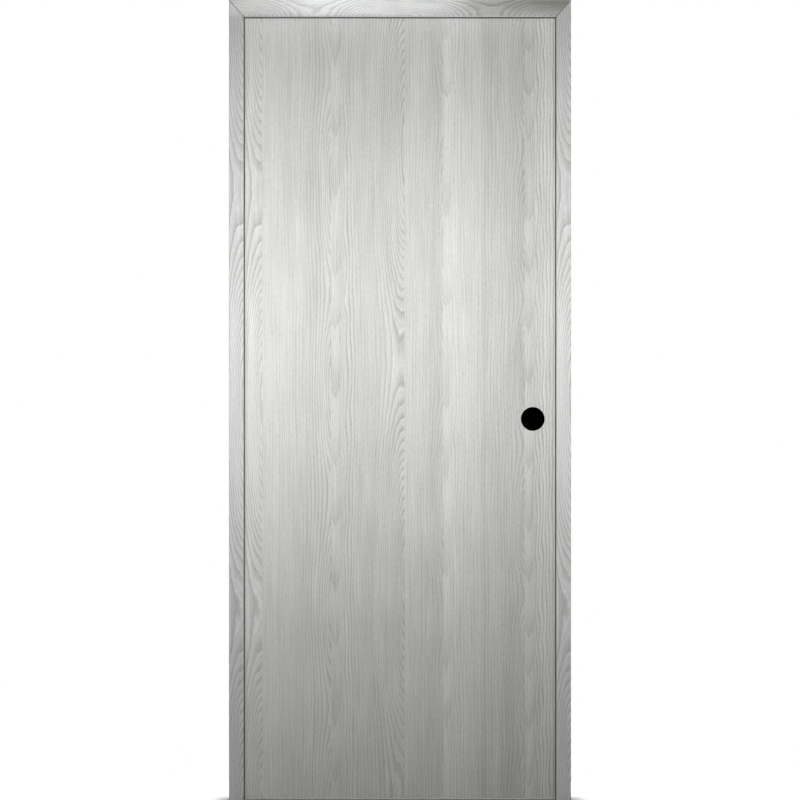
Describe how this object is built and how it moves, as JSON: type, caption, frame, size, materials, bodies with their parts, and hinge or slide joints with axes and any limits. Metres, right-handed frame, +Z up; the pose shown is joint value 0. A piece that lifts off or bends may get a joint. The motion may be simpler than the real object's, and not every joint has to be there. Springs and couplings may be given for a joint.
{
  "type": "prehung door",
  "caption": "Flush interior door leaf in pale grey wood-print foil, hung on butt hinges in a mitred, rebated frame with a dark seal and bored for a lockset.",
  "frame": {"origin": "on the wall face of the hinge jamb, halfway through the frame's depth, at floor level", "axes": "+X from the hinge jamb to the strike jamb, +Y from the push side to the pull side, +Z up; seen from the push side +X is right"},
  "size_m": [0.8748, 0.1285, 2.0471],
  "materials": {
    "grey_wood_laminate": "matt wood-print foil",
    "particleboard": "raw",
    "softwood": "planed, raw",
    "seal_rubber": "matt",
    "satin_nickel": "satin"
  },
  "bodies": {
    "frame": {"hinge_jamb": "grey_wood_laminate", "strike_jamb": "grey_wood_laminate", "head_jamb": "grey_wood_laminate", "hinge_side_seal": "seal_rubber", "strike_side_seal": "seal_rubber", "head_seal": "seal_rubber", "hinge_frame_plates": "satin_nickel", "bottom_hinge_pin": "satin_nickel", "middle_hinge_pin": "satin_nickel", "top_hinge_pin": "satin_nickel"},
    "leaf": {"front_skin": "grey_wood_laminate", "back_skin": "grey_wood_laminate", "hinge_edge_band": "grey_wood_laminate", "lock_edge_band": "grey_wood_laminate", "hinge_stile": "softwood", "lock_stile": "softwood", "top_rail": "softwood", "bottom_rail": "softwood", "lock_block": "softwood", "core_panel": "particleboard", "hinge_leaf_plates": "satin_nickel"}
  },
  "joints": [
    {"name": "leaf_swing", "type": "hinge", "parent": "frame", "child": "leaf", "pos_m": [0.0285, 0.0645, 0], "axis": [0, 0, 1], "range_deg": [0, 170]}
  ]
}
